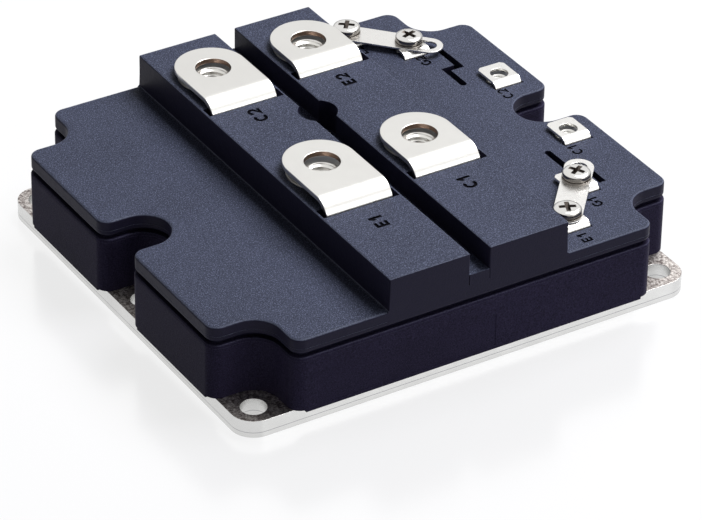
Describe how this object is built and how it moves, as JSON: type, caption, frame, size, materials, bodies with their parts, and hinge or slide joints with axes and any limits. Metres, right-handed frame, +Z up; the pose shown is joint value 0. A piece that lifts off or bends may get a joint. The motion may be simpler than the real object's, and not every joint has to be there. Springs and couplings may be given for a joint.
{
  "type": "high-power igbt module",
  "caption": "Flat screw-down power transistor module: metal base plate, dark moulded housing with raised terminal rails, folded screw terminals and gate contacts with shorting links.",
  "frame": {"origin": "centre of the base plate's underside", "axes": "+Z up from the heatsink side to the terminals; the terminal rails run along Y; +X points to the side with the auxiliary contacts"},
  "size_m": [0.14, 0.13, 0.0392],
  "materials": {
    "plated_base": "bright nickel plate",
    "case_plastic": "fine moulded grain",
    "lid_plastic": "fine moulded grain",
    "nut_steel": "zinc plated",
    "screw_steel": "bright plated",
    "link_metal": "satin nickel",
    "terminal_metal": "satin nickel",
    "aux_metal": "satin nickel",
    "copper": "plain copper",
    "ceramic": "fired",
    "silicon": "polished",
    "ribbon_aluminium": "drawn",
    "board_laminate": "lacquered",
    "pin_brass": "tinned",
    "clear_gel": "clear"
  },
  "bodies": {
    "root": {"base_plate": "plated_base", "case_frame": "case_plastic", "lid": "lid_plastic", "terminal_rail_left": "lid_plastic", "terminal_rail_right": "lid_plastic", "m8_nuts": "nut_steel", "m4_nuts": "nut_steel", "link_screws": "screw_steel", "spring_washers": "screw_steel", "flat_washers": "screw_steel", "shorting_link_front": "link_metal", "shorting_link_back": "link_metal", "gate_board": "board_laminate", "signal_pins": "pin_brass", "gel_filling": "clear_gel", "main_terminal_c1": "terminal_metal", "main_terminal_e1": "terminal_metal", "main_terminal_c2": "terminal_metal", "main_terminal_e2": "terminal_metal", "aux_terminal_c1": "aux_metal", "aux_terminal_g1": "aux_metal", "aux_terminal_e1": "aux_metal", "aux_terminal_c2": "aux_metal", "aux_terminal_g2": "aux_metal", "aux_terminal_e2": "aux_metal", "copper_back_1": "copper", "ceramic_1": "ceramic", "copper_tracks_1": "copper", "igbt_chips_1": "silicon", "diode_chips_1": "silicon", "bond_ribbons_1": "ribbon_aluminium", "copper_back_2": "copper", "ceramic_2": "ceramic", "copper_tracks_2": "copper", "igbt_chips_2": "silicon", "diode_chips_2": "silicon", "bond_ribbons_2": "ribbon_aluminium", "copper_back_3": "copper", "ceramic_3": "ceramic", "copper_tracks_3": "copper", "igbt_chips_3": "silicon", "diode_chips_3": "silicon", "bond_ribbons_3": "ribbon_aluminium", "copper_back_4": "copper", "ceramic_4": "ceramic", "copper_tracks_4": "copper", "igbt_chips_4": "silicon", "diode_chips_4": "silicon", "bond_ribbons_4": "ribbon_aluminium"}
  },
  "joints": []
}
